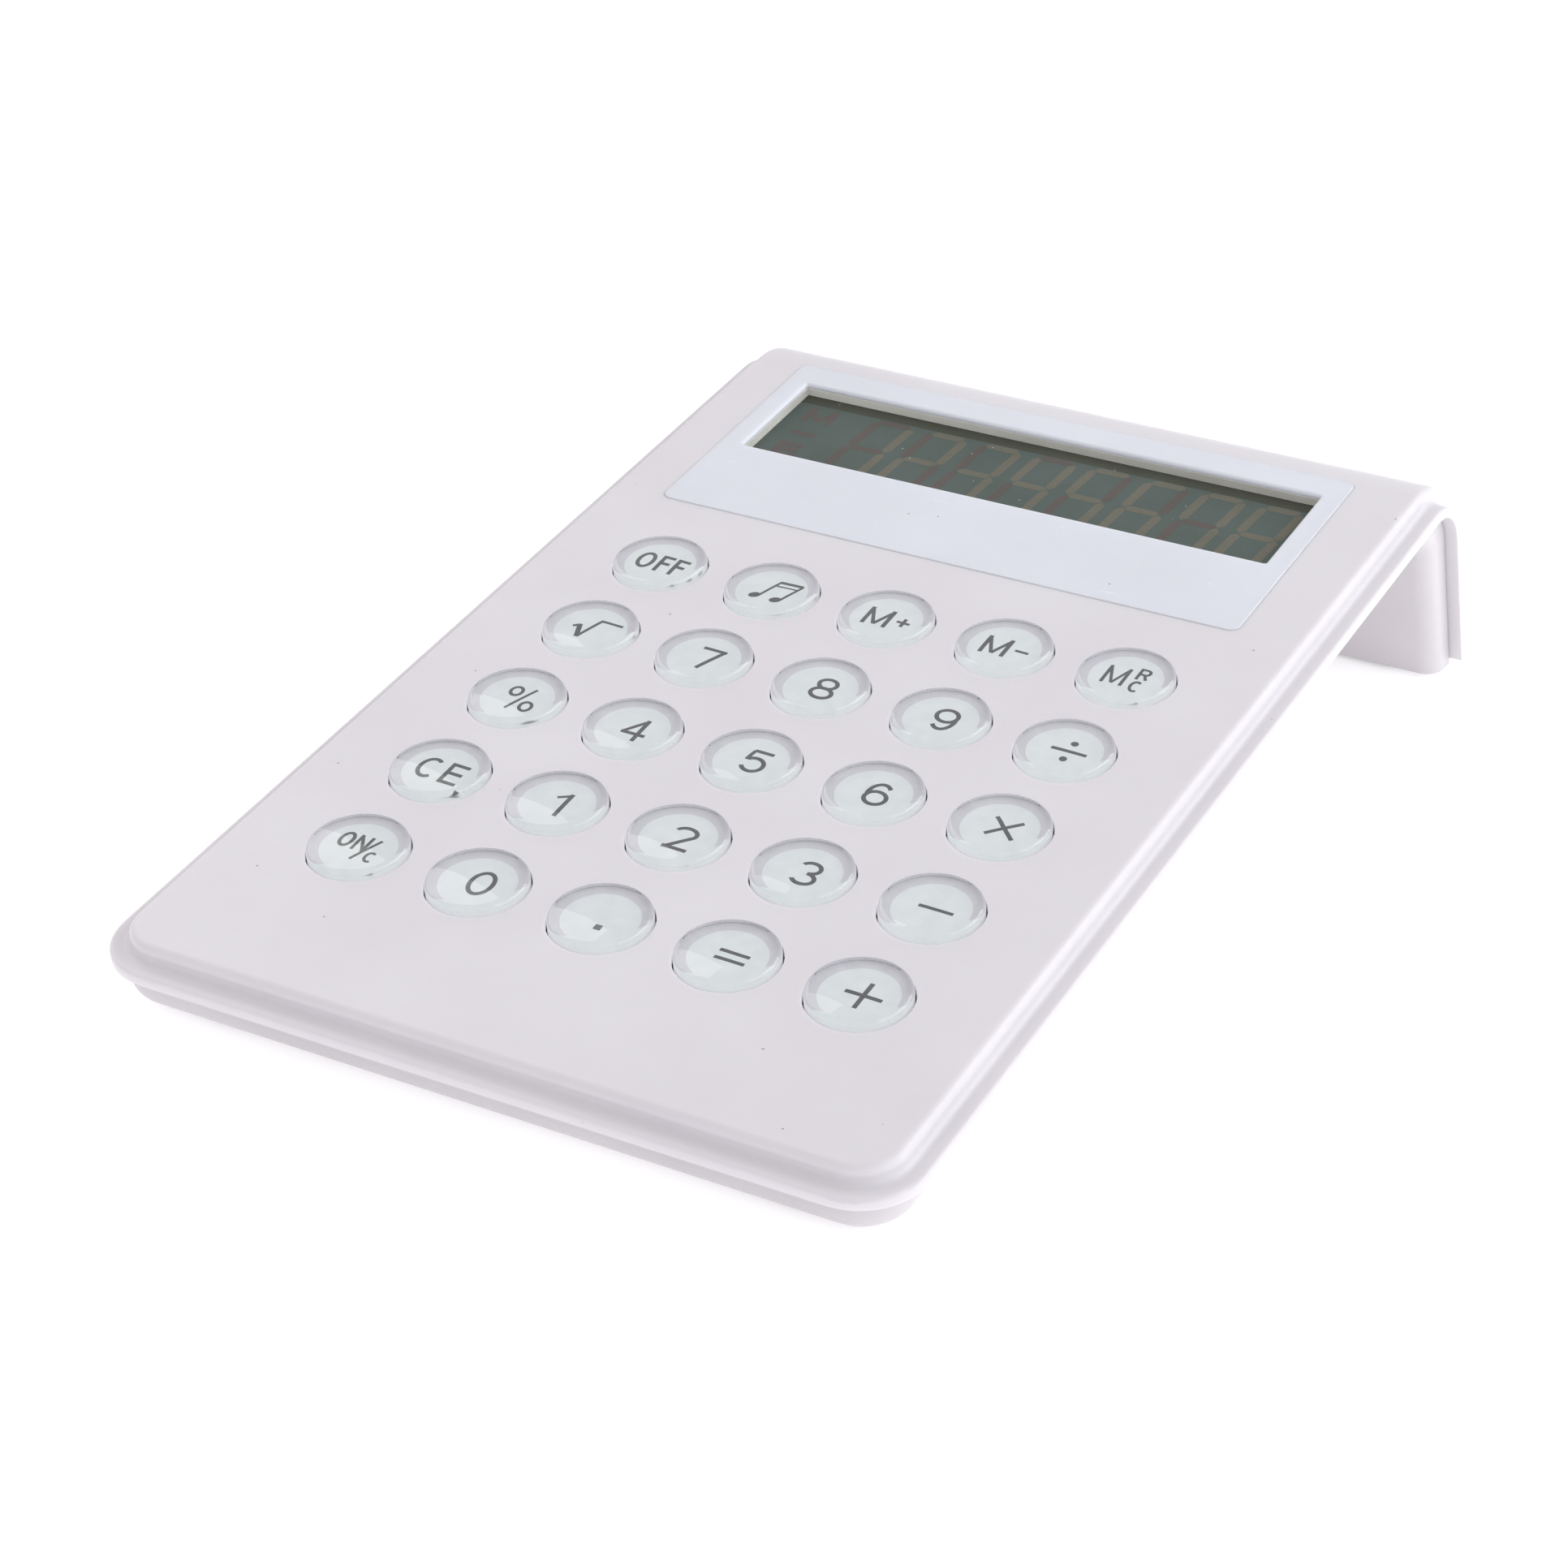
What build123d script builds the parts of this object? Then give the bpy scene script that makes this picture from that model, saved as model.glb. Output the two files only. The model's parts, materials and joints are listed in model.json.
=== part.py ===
import os
from math import atan2, cos, degrees, radians, sin

from build123d import *

os.makedirs("parts", exist_ok=True)

# All sizes are millimetres. Depths are measured down from the casing's top face, square to it,
# and follow that face round the bend and down the leg.

# the slab and its bend
plate_tilt = 8.5
leg_lean = 12.0
bend_start = 85.1
bend_radius = 11.15
casing_half_width = 46.65
casing_front = 57.2
casing_corner = 5.2
ledge_reach = 2.35
ledge_depth = 2.1
flange_depth = 3.35
slab_depth = 8.2
cover_inset = 1.7
parting_gap = 0.1
casing_skin = 1.4
display_skin = 1.5
cover_skin = 1.4
side_wall = 1.8
cover_round = 2.5
casing_round = 1.0
groove_round = 0.9
flange_round = 0.5
foot_height = 0.5
casing_foot = 1.3
leg_floor = 3.0
leg_stock = 60.0
shell_overlap = 0.2
lip_height = 0.5
lip_gap = 0.15
lip_outset = 1.1
lip_thickness = 1.0
cut_past = 1.0
face_cut = 3.0

# the keypad
key_names = (
    ("off", "melody", "m_plus", "m_minus", "mrc"),
    ("root", "7", "8", "9", "divide"),
    ("percent", "4", "5", "6", "times"),
    ("ce", "1", "2", "3", "minus"),
    ("on_c", "0", "point", "equals", "plus"),
)
column_pitch = 15.5
row_pitch = 16.35
key_radius = 5.75
key_stand = 1.15
key_play = 0.2
key_flange_radius = 6.6
key_flange_top = 1.5
key_bottom = 2.1
key_pocket_radius = 5.0
key_pocket_depth = 1.5
key_round = 0.65
key_dome = 0.3
key_travel = 1.0

# the rubber mat, its carbon pills and the circuit board
mat_top = 3.4
board_top = 4.0
board_bottom = 5.0
mat_half_width = 39.0
mat_half_length = 42.5
dome_top = 1.55
dome_shoulder = 2.2
dome_base_radius = 5.2
plunger_radius = 3.6
dome_wall = 0.6
pill_radius = 2.0
pill_top = 2.6
pill_thickness = 0.4
board_half_width = 38.4
board_front = 46.0
board_rear = 54.0
board_corner = 1.5
blob_radius = 5.0
blob_height = 1.2
blob_round = 1.0

# screws and their bosses
pilot_radius = 0.9
screw_radius = 0.85
screw_hole_radius = 1.1
board_boss_radius = 2.2
board_screw_head = 1.8
case_screw_x = 41.8
case_screw_rows = (-50.0, 15.0, 80.0)
case_boss_radius = 2.4
cover_boss_radius = 3.0
case_head_radius = 2.0
case_head_seat = 6.2
boss_meeting = 4.65
boss_gap = 0.05
boss_pilot_depth = 2.0
case_pilot_depth = 2.6
retainer_pilot_depth = 2.3
shank_clearance_radius = 1.2
head_play = 0.2

# the display
display_x = -0.6
bezel_width = 77.9
bezel_length = 37.6
bezel_y = 66.2
bezel_corner = 1.3
bezel_proud = 0.15
bezel_thickness = 0.9
bezel_gap = 0.03
bezel_edge_round = 0.13
window_width = 72.0
window_length = 17.4
window_y = 71.8
window_corner = 0.25
window_round = 0.55
collar_wall = 1.2
collar_gap = 0.1
skin_margin = 3.0
lcd_top = 1.55
film_thickness = 0.2
glass_thickness = 0.7
lcd_half_width = 37.5
lcd_rear = 82.0
lcd_front = 61.7
lcd_ledge_front = 59.2
lcd_play = 0.2
film_inset = 0.3
pocket_wall = 1.0
retainer_gap = 0.05
retainer_boss_radius = 2.0
retainer_thickness = 0.5
retainer_screw_x = 40.3
retainer_screw_y = 71.0
retainer_tab_reach = 2.3
retainer_tab_width = 5.2
retainer_tab_corner = 1.5
ribbon_thickness = 0.12
ribbon_width = 60.0

# the button cell, its contacts and its door
cell_y = 63.0
cell_radius = 5.8
cell_top = 4.4
cell_bottom = 7.4
well_radius = 6.3
well_wall = 1.2
well_top = 4.65
door_top = 7.5
door_width = 17.0
door_length = 26.0
door_y = 68.5
door_corner = 1.5
door_gap = 0.15
door_screw_y = 77.0
door_head_recess = 0.4
door_head_radius = 1.9
grip_count = 4
grip_pitch = 1.6
grip_length = 9.0
grip_width = 0.7
grip_depth = 0.25
grip_offset = 5.0
strip_thickness = 0.15
strip_width = 3.0
minus_strip_x = -4.0

# the sounder
sounder_y = 18.0
brass_radius = 10.0
ceramic_radius = 7.0
sounder_layer = 0.2
sound_hole_radius = 0.6
sound_ring = 3.0
wire_radius = 0.35
wire_x = 3.0
wire_bend = 40.0

# the feet
foot_x = 34.0
front_foot_y = -50.5
front_foot_radius = 4.0
front_foot_recess = 0.8
leg_foot_length = 14.0
leg_foot_width = 2.6
leg_foot_recess = 0.8
leg_foot_corner = 0.8
foot_gap = 0.05
seat_gap = 0.02
foot_stock = 5.0

# outlines that follow from the sizes above
flange_half_width = casing_half_width + ledge_reach
flange_front = casing_front + ledge_reach
flange_corner = casing_corner + ledge_reach
cover_half_width = flange_half_width - cover_inset
cover_front = flange_front - cover_inset
cover_corner = flange_corner - cover_inset
floor_depth = slab_depth - cover_skin
bend_turn = 90.0 - leg_lean

# where the casing's top face lies when the calculator stands on its feet: x across, y up the slope
tilt = radians(plate_tilt)
round_y = cover_front - cover_round
round_depth = slab_depth - cover_round
face_height = foot_height + cover_round + round_y * sin(tilt) + round_depth * cos(tilt)
front_reach = (flange_front - flange_round) * cos(tilt) + flange_round
front_reach -= (ledge_depth + flange_round) * sin(tilt)
leg_angle = radians(bend_turn - plate_tilt)
bend_y = bend_start * cos(tilt) + bend_radius * sin(tilt)
bend_height = face_height + bend_start * sin(tilt) - bend_radius * cos(tilt)


def leg_reach(depth, height):
    """How far behind the face's origin the leg's surface of one depth stands at one height."""
    return bend_y + (bend_radius - depth - (height - bend_height) * cos(leg_angle)) / sin(leg_angle)


rear_reach = leg_reach(0, casing_foot)
face_y = (front_reach - rear_reach) / 2.0
leg_foot_y = face_y + (leg_reach(slab_depth, foot_height) + leg_reach(flange_depth, foot_height)) / 2.0
face = Plane(origin=(0, face_y, face_height), x_dir=(1, 0, 0), z_dir=(0, -sin(tilt), cos(tilt)))
side = Plane(origin=face.origin, x_dir=face.y_dir, z_dir=face.x_dir)
up_slope = Axis(face.origin, face.y_dir)
square_up = Axis(face.origin, face.z_dir)


def depth_of(point):
    """How far a point lies below the casing's top face, round the bend as well."""
    local = face.to_local_coords(point)
    beyond = local.Y - bend_start
    if beyond <= 0:
        return -local.Z
    below = local.Z + bend_radius
    turned = Vector(beyond, below).get_angle(Vector(0, 1))
    if turned < bend_turn:
        return bend_radius - Vector(beyond, below).length
    return bend_radius - beyond * sin(radians(bend_turn)) - below * cos(radians(bend_turn))


def rim_edges(part, depth, half_width, front):
    """The edges that run round an outline at one depth: front, corners, sides, bend and leg."""

    def on_rim(edge):
        middle = edge @ 0.5
        local = face.to_local_coords(middle)
        if abs(depth_of(middle) - depth) > 0.02:
            return False
        at_side = abs(abs(local.X) - half_width) < 0.02
        at_front = local.Y < bend_start / 2 and abs(local.X) < half_width + 0.02
        inside = local.Y > -front - 0.02
        return at_side or (at_front and inside)

    return part.edges().filter_by(on_rim)


def bent_slab(half_width, front, top, bottom, corner, foot, top_round=0.0, bottom_round=0.0):
    """A slab of even thickness that lies under the top face, turns the bend and ends at a height."""
    with BuildPart() as slab:
        with BuildSketch(side):
            with BuildLine():
                upper = Line((-front, -top), (bend_start, -top))
                outer = JernArc(upper @ 1, (1, 0), bend_radius - top, -bend_turn)
                heel = PolarLine(outer @ 1, leg_stock, direction=outer % 1)
                lower = Line((-front, -bottom), (bend_start, -bottom))
                inner = JernArc(lower @ 1, (1, 0), bend_radius - bottom, -bend_turn)
                toe = PolarLine(inner @ 1, leg_stock, direction=inner % 1)
                Line(heel @ 1, toe @ 1)
                Line(upper @ 0, lower @ 0)
            make_face()
        extrude(amount=half_width, both=True)
        if corner:
            nose = slab.faces().filter_by(up_slope).sort_by(up_slope)[0]
            fillet(nose.edges().filter_by(square_up), corner)
        if top_round:
            fillet(rim_edges(slab, top, half_width, front), top_round)
        if bottom_round:
            fillet(rim_edges(slab, bottom, half_width, front), bottom_round)
        split(bisect_by=Plane.XY.offset(foot), keep=Keep.TOP)
    return slab.part


def finish(builder, name):
    builder.part.label = name
    export_step(builder.part, f"parts/{name}.step")


key_spots = GridLocations(column_pitch, row_pitch, 5, 5)
board_spots = GridLocations(3 * column_pitch, row_pitch, 2, 4)
case_spots = [(x, y) for x in (-case_screw_x, case_screw_x) for y in case_screw_rows]
retainer_spots = [(-retainer_screw_x, retainer_screw_y), (retainer_screw_x, retainer_screw_y)]
foot_spots = [(-foot_x, front_foot_y), (foot_x, front_foot_y)]
lcd_back = lcd_top + 2 * film_thickness + 2 * glass_thickness

# ---- top casing: key plate, stepped edge, flange and the outer skin of the leg
raised = bent_slab(
    casing_half_width, casing_front, 0, ledge_depth + shell_overlap, casing_corner, casing_foot,
    top_round=casing_round,
)
flange = bent_slab(
    flange_half_width, flange_front, ledge_depth, flange_depth, flange_corner, casing_foot,
    top_round=flange_round,
)
casing_hollow = bent_slab(
    casing_half_width - side_wall,
    casing_front - side_wall,
    casing_skin,
    flange_depth + cut_past,
    casing_corner - side_wall,
    leg_floor,
)
rebate_inset = lip_outset - lip_gap
lip_rebate = bent_slab(
    cover_half_width - rebate_inset,
    cover_front - rebate_inset,
    flange_depth - lip_height,
    flange_depth + cut_past,
    cover_corner - rebate_inset,
    -casing_foot,
)
with BuildPart() as top_casing:
    add(raised)
    add(flange)
    fillet(rim_edges(top_casing, ledge_depth, casing_half_width, casing_front), groove_round)
    add(casing_hollow, mode=Mode.SUBTRACT)
    add(lip_rebate, mode=Mode.SUBTRACT)
    # thicker skin round the display, with a three-sided pocket for the glass
    with BuildSketch(face.offset(-casing_skin)):
        with Locations((display_x, bezel_y)):
            Rectangle(bezel_width + 2 * skin_margin, bezel_length + 1)
    extrude(amount=-(display_skin - casing_skin))
    with BuildSketch(face.offset(-display_skin)):
        pocket_length = lcd_rear - lcd_front
        pocket_half_width = lcd_half_width + lcd_play
        with Locations((display_x, (lcd_rear + lcd_front) / 2)):
            Rectangle(2 * (pocket_half_width + pocket_wall), pocket_length + 2 * pocket_wall)
        with Locations((display_x, (lcd_rear + lcd_front) / 2 - pocket_wall)):
            Rectangle(
                2 * pocket_half_width,
                pocket_length + 2 * lcd_play + 2 * pocket_wall,
                mode=Mode.SUBTRACT,
            )
    extrude(amount=-(lcd_back - display_skin - 0.1))
    with BuildSketch(face.offset(-casing_skin)):
        with board_spots:
            Circle(board_boss_radius)
    extrude(amount=-(board_top - casing_skin))
    with BuildSketch(face.offset(-casing_skin)):
        with Locations(*case_spots):
            Circle(case_boss_radius)
    extrude(amount=-(boss_meeting - boss_gap - casing_skin))
    with BuildSketch(face.offset(-display_skin)):
        with Locations(*retainer_spots):
            Circle(retainer_boss_radius)
    extrude(amount=-(lcd_back + retainer_gap - display_skin))
    # pilot holes
    with BuildSketch(face.offset(-board_top)):
        with board_spots:
            Circle(pilot_radius)
    extrude(amount=boss_pilot_depth, mode=Mode.SUBTRACT)
    with BuildSketch(face.offset(-boss_meeting)):
        with Locations(*case_spots):
            Circle(pilot_radius)
    extrude(amount=case_pilot_depth, mode=Mode.SUBTRACT)
    with BuildSketch(face.offset(-lcd_back - 0.1)):
        with Locations(*retainer_spots):
            Circle(pilot_radius)
    extrude(amount=retainer_pilot_depth, mode=Mode.SUBTRACT)
    # key holes
    with BuildSketch(face.offset(1)):
        with key_spots:
            Circle(key_radius + key_play)
    extrude(amount=-(1 + casing_skin + boss_gap), mode=Mode.SUBTRACT)
    # bezel recess and display opening
    with BuildSketch(face.offset(1)):
        with Locations((display_x, bezel_y)):
            RectangleRounded(bezel_width + 2 * bezel_gap, bezel_length + 2 * bezel_gap, bezel_corner)
    extrude(amount=-(1 + bezel_thickness - bezel_proud + 0.02), mode=Mode.SUBTRACT)
    with BuildSketch(face):
        with Locations((display_x, window_y)):
            Rectangle(window_width + 2 * (collar_wall + collar_gap), window_length + 2 * (collar_wall + collar_gap))
    extrude(amount=-face_cut, mode=Mode.SUBTRACT)
finish(top_casing, "top_casing")

# ---- bottom cover: tray under the flange, inner skin of the leg, cell well and screw posts
tray = bent_slab(
    cover_half_width,
    cover_front,
    flange_depth + parting_gap,
    slab_depth,
    cover_corner,
    foot_height,
    bottom_round=cover_round,
)
tray_lip = bent_slab(
    cover_half_width - lip_outset,
    cover_front - lip_outset,
    flange_depth - lip_height + parting_gap,
    flange_depth + lip_thickness,
    cover_corner - lip_outset,
    leg_floor,
)
hollow_inset = lip_outset + lip_thickness
tray_hollow = bent_slab(
    cover_half_width - hollow_inset,
    cover_front - hollow_inset,
    flange_depth - cut_past,
    floor_depth,
    cover_corner - hollow_inset,
    leg_floor,
)
with BuildPart() as bottom_cover:
    add(tray)
    add(tray_lip)
    add(tray_hollow, mode=Mode.SUBTRACT)
    with BuildSketch(face.offset(-floor_depth)):
        with Locations(*case_spots):
            Circle(cover_boss_radius)
    extrude(amount=floor_depth - boss_meeting)
    with BuildSketch(face.offset(-floor_depth - 0.1)):
        with Locations((0, cell_y)):
            Circle(well_radius + well_wall)
        with Locations((0, door_screw_y)):
            Circle(case_boss_radius)
    extrude(amount=floor_depth + 0.1 - well_top)
    with BuildSketch(face.offset(-floor_depth - 0.1)):
        with Locations(*foot_spots):
            Circle(front_foot_radius + 1.0)
    extrude(amount=1.0)
    # screw holes and head recesses
    with BuildSketch(face.offset(-slab_depth - 1)):
        with Locations(*case_spots):
            Circle(shank_clearance_radius)
    extrude(amount=slab_depth, mode=Mode.SUBTRACT)
    with BuildSketch(face.offset(-slab_depth - 1)):
        with Locations(*case_spots):
            Circle(case_head_radius + head_play)
    extrude(amount=slab_depth + 1 - case_head_seat, mode=Mode.SUBTRACT)
    # the cell's well, with a notch for the side contact, and the door's recess
    with BuildSketch(face.offset(-slab_depth - 1)):
        with Locations((0, cell_y)):
            Circle(well_radius)
    extrude(amount=6, mode=Mode.SUBTRACT)
    with BuildSketch(face.offset(-floor_depth)):
        with Locations((0, cell_y - well_radius)):
            Rectangle(strip_width + 1, 4)
    extrude(amount=3, mode=Mode.SUBTRACT)
    with BuildSketch(face.offset(-slab_depth - 1)):
        with Locations((0, door_y)):
            RectangleRounded(door_width + 2 * door_gap, door_length + 2 * door_gap, door_corner)
    extrude(amount=slab_depth + 1 - door_top + 0.02, mode=Mode.SUBTRACT)
    with BuildSketch(face.offset(-slab_depth)):
        with Locations((0, door_screw_y)):
            Circle(pilot_radius)
    extrude(amount=3.0, mode=Mode.SUBTRACT)
    # sound holes under the sounder
    with BuildSketch(face.offset(-slab_depth - 1)):
        with Locations((0, sounder_y)):
            Circle(sound_hole_radius)
            with PolarLocations(sound_ring, 6):
                Circle(sound_hole_radius)
    extrude(amount=3, mode=Mode.SUBTRACT)
    # recesses for the rubber feet
    with BuildSketch(face.offset(-slab_depth - 3)):
        with Locations(*foot_spots):
            Circle(front_foot_radius + foot_gap)
    extrude(amount=3 + front_foot_recess, mode=Mode.SUBTRACT)
    with BuildSketch(Plane.XY):
        with Locations((-foot_x, leg_foot_y), (foot_x, leg_foot_y)):
            RectangleRounded(leg_foot_length + 2 * foot_gap, leg_foot_width + 2 * foot_gap, leg_foot_corner)
    extrude(amount=foot_height + leg_foot_recess, mode=Mode.SUBTRACT)
finish(bottom_cover, "bottom_cover")

# ---- display bezel: plate in the casing's recess, with a collar down to the glass
with BuildPart() as display_bezel:
    with BuildSketch(face.offset(bezel_proud)):
        with Locations((display_x, bezel_y)):
            RectangleRounded(bezel_width, bezel_length, bezel_corner)
    extrude(amount=-bezel_thickness)
    with BuildSketch(face.offset(bezel_proud)):
        with Locations((display_x, window_y)):
            Rectangle(window_width + 2 * collar_wall, window_length + 2 * collar_wall)
    extrude(amount=-(bezel_proud + lcd_top - collar_gap))
    with BuildSketch(face.offset(1)):
        with Locations((display_x, window_y)):
            RectangleRounded(window_width, window_length, window_corner)
    extrude(amount=-(1 + face_cut), mode=Mode.SUBTRACT)
    top_face = display_bezel.faces().filter_by(square_up).sort_by(square_up)[-1]
    fillet(top_face.outer_wire().edges(), bezel_edge_round)
    top_face = display_bezel.faces().filter_by(square_up).sort_by(square_up)[-1]
    fillet(top_face.inner_wires()[0].edges(), window_round)
finish(display_bezel, "display_bezel")


def flat_layer(name, top, thickness, front, rear, half_width):
    """A thin rectangular layer of the display, square to the face."""
    with BuildPart() as layer:
        with BuildSketch(face.offset(-top)):
            with Locations((display_x, (front + rear) / 2)):
                Rectangle(2 * half_width, rear - front)
        extrude(amount=-thickness)
    finish(layer, name)


# ---- liquid crystal cell: front film, two glass plates and the reflector behind them
rear_glass_top = lcd_top + film_thickness + glass_thickness
film_span = (lcd_front + film_inset, lcd_rear - film_inset, lcd_half_width - film_inset)
flat_layer("lcd_front_film", lcd_top, film_thickness, *film_span)
flat_layer("lcd_front_glass", lcd_top + film_thickness, glass_thickness, lcd_front, lcd_rear, lcd_half_width)
flat_layer("lcd_rear_glass", rear_glass_top, glass_thickness, lcd_ledge_front, lcd_rear, lcd_half_width)
reflector_top = rear_glass_top + glass_thickness
flat_layer("lcd_reflector", reflector_top, film_thickness, *film_span)


def side_strip(name, points, thickness, width, x=0.0):
    """A bent strip whose side outline has one face along the points and lies to their left."""
    with BuildPart() as strip:
        with BuildSketch(side.offset(x)):
            with BuildLine():
                Polyline(*points)
                offset(amount=thickness, kind=Kind.INTERSECTION, side=Side.LEFT)
            make_face()
        extrude(amount=width / 2, both=True)
    finish(strip, name)


def screws(name, spots, seat, head, head_height, shank):
    """Pan-head self-tapping screws driven from below, with a cross recess, as one group."""
    with BuildPart() as group:
        with BuildSketch(face.offset(-seat)):
            with spots:
                Circle(head)
        extrude(amount=-head_height)
        fillet(group.faces().filter_by(square_up).group_by(square_up)[0].edges(), 0.45 * head_height)
        with BuildSketch(face.offset(-seat - head_height)):
            with spots:
                Rectangle(1.3 * head, 0.3 * head)
                Rectangle(0.3 * head, 1.3 * head)
        extrude(amount=0.5 * head_height, mode=Mode.SUBTRACT)
        with BuildSketch(face.offset(-seat)):
            with spots:
                Circle(screw_radius)
        extrude(amount=shank)
    finish(group, name)


# ---- what holds the glass: retainer plate, its two screws and the ribbon to the board
retainer_top = lcd_back + retainer_gap
retainer_bottom = retainer_top + retainer_thickness
with BuildPart() as lcd_retainer:
    with BuildSketch(face.offset(-retainer_top)):
        with Locations((0, (lcd_ledge_front + lcd_rear) / 2)):
            RectangleRounded(2 * lcd_half_width, lcd_rear - lcd_ledge_front, 1.0)
        with Locations((0, retainer_screw_y)):
            RectangleRounded(
                2 * (retainer_screw_x + retainer_tab_reach), retainer_tab_width, retainer_tab_corner
            )
        with Locations(*retainer_spots):
            Circle(screw_hole_radius, mode=Mode.SUBTRACT)
    extrude(amount=-retainer_thickness)
finish(lcd_retainer, "lcd_retainer")
screws("lcd_retainer_screws", Locations(*retainer_spots), retainer_bottom, 1.7, 0.8, 2.0)
side_strip(
    "lcd_ribbon",
    ((46.5, -board_top), (52.5, -board_top), (57.2, -rear_glass_top), (61.3, -rear_glass_top)),
    ribbon_thickness,
    ribbon_width,
)


def key_cap(name, x, y):
    """A clear key: domed disc, retaining flange under the casing and a pocket for the mat's plunger."""
    foot = face.from_local_coords((x, y, 0))
    half_plane = Plane(origin=foot, x_dir=(1, 0, 0), z_dir=-face.y_dir)
    with BuildPart() as cap:
        with BuildSketch(half_plane):
            with BuildLine():
                crown = (0, key_stand + key_dome)
                shoulder = (key_radius - key_round, key_stand)
                TangentArc(crown, shoulder, tangent=(1, 0))
                RadiusArc(shoulder, (key_radius, key_stand - key_round), key_round)
                Polyline(
                    (key_radius, key_stand - key_round),
                    (key_radius, -key_flange_top),
                    (key_flange_radius, -key_flange_top),
                    (key_flange_radius, -key_bottom),
                    (key_pocket_radius, -key_bottom),
                    (key_pocket_radius, -key_pocket_depth),
                    (0, -key_pocket_depth),
                    crown,
                )
            make_face()
        revolve(axis=Axis(foot, face.z_dir))
    finish(cap, name)


# ---- the keys: rows run from the display towards the front
for row, names in enumerate(key_names):
    for column, name in enumerate(names):
        key_cap(f"key_{name}", (column - 2) * column_pitch, (2 - row) * row_pitch)

# ---- rubber mat with a dome under each key
with BuildPart() as keypad_mat:
    with BuildSketch(face.offset(-mat_top)):
        RectangleRounded(2 * mat_half_width, 2 * mat_half_length, 2.0)
    extrude(amount=-(board_top - mat_top))
    with BuildSketch(face.offset(-mat_top)):
        with key_spots:
            Circle(dome_base_radius)
    dome_flare = degrees(atan2(dome_base_radius - plunger_radius, mat_top - dome_shoulder))
    extrude(amount=mat_top - dome_shoulder, taper=dome_flare)
    with BuildSketch(face.offset(-dome_shoulder)):
        with key_spots:
            Circle(plunger_radius)
    extrude(amount=dome_shoulder - dome_top)
    with BuildSketch(face.offset(-board_top)):
        with key_spots:
            Circle(dome_base_radius - dome_wall)
    hollow_rise = board_top - pill_top
    hollow_flare = degrees(atan2(dome_base_radius - plunger_radius, hollow_rise))
    extrude(amount=hollow_rise, taper=hollow_flare, mode=Mode.SUBTRACT)
    with BuildSketch(face.offset(-board_top)):
        with board_spots:
            Circle(board_boss_radius + 0.3)
    extrude(amount=1.0, mode=Mode.SUBTRACT)
finish(keypad_mat, "keypad_mat")

with BuildPart() as carbon_pills:
    with BuildSketch(face.offset(-pill_top)):
        with key_spots:
            Circle(pill_radius)
    extrude(amount=-pill_thickness)
finish(carbon_pills, "carbon_pills")

# ---- circuit board and what is soldered to its underside
with BuildPart() as circuit_board:
    with BuildSketch(face.offset(-board_top)):
        with Locations((0, (board_rear - board_front) / 2)):
            RectangleRounded(2 * board_half_width, board_front + board_rear, board_corner)
        with board_spots:
            Circle(screw_hole_radius, mode=Mode.SUBTRACT)
    extrude(amount=-(board_bottom - board_top))
finish(circuit_board, "circuit_board")
screws("board_screws", board_spots, board_bottom, board_screw_head, 1.0, 2.8)

with BuildPart() as chip_blob:
    with BuildSketch(face.offset(-board_bottom)):
        with Locations((0, -row_pitch)):
            Circle(blob_radius)
    extrude(amount=-blob_height)
    fillet(chip_blob.faces().filter_by(square_up).sort_by(square_up)[0].edges(), blob_round)
finish(chip_blob, "chip_blob")


def board_blocks(name, spots, length, width, height):
    """Small block-shaped components on the underside of the board, as one group."""
    with BuildPart() as blocks:
        with BuildSketch(face.offset(-board_bottom)):
            with Locations(*spots):
                Rectangle(length, width)
        extrude(amount=-height)
    finish(blocks, name)


board_blocks("capacitors", ((-9.0, -4.0), (9.0, -4.0), (12.0, -28.0)), 3.2, 1.6, 1.1)
board_blocks("resistors", ((-12.0, -28.0), (0.0, -28.0), (0.0, 0.0)), 2.0, 1.2, 0.6)

# ---- button cell, its two contact strips, its door and the door's screw
with BuildPart() as button_cell:
    with BuildSketch(face.offset(-cell_top)):
        with Locations((0, cell_y)):
            Circle(cell_radius - 1.1)
    extrude(amount=-0.5)
    with BuildSketch(face.offset(-cell_top - 0.4)):
        with Locations((0, cell_y)):
            Circle(cell_radius)
    extrude(amount=-(cell_bottom - cell_top - 0.4))
    fillet(button_cell.faces().filter_by(square_up).sort_by(square_up)[0].edges(), 0.2)
finish(button_cell, "button_cell")

strip_level = board_bottom + strip_thickness + 0.02
side_strip(
    "cell_contact_minus",
    ((47.0, -strip_level), (54.9, -strip_level), (56.2, 0.02 - cell_top), (66.0, 0.02 - cell_top)),
    strip_thickness,
    strip_width,
    minus_strip_x,
)
contact_y = cell_y - cell_radius - strip_thickness - 0.03
side_strip(
    "cell_contact_plus",
    ((47.0, -strip_level), (contact_y, -strip_level), (contact_y, -6.6)),
    strip_thickness,
    strip_width,
)

with BuildPart() as battery_door:
    with BuildSketch(face.offset(-door_top)):
        with Locations((0, door_y)):
            RectangleRounded(door_width, door_length, door_corner)
    extrude(amount=-(slab_depth - door_top))
    with BuildSketch(face.offset(-slab_depth)):
        with Locations((0, door_screw_y)):
            Circle(door_head_radius)
    extrude(amount=door_head_recess, mode=Mode.SUBTRACT)
    with BuildSketch(face.offset(-slab_depth)):
        with Locations((0, door_screw_y)):
            Circle(1.0)
    extrude(amount=1.0, mode=Mode.SUBTRACT)
    with BuildSketch(face.offset(-slab_depth)):
        with Locations((0, door_y - grip_offset)):
            with GridLocations(0, grip_pitch, 1, grip_count):
                SlotOverall(grip_length, grip_width)
    extrude(amount=grip_depth, mode=Mode.SUBTRACT)
finish(battery_door, "battery_door")
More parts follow.
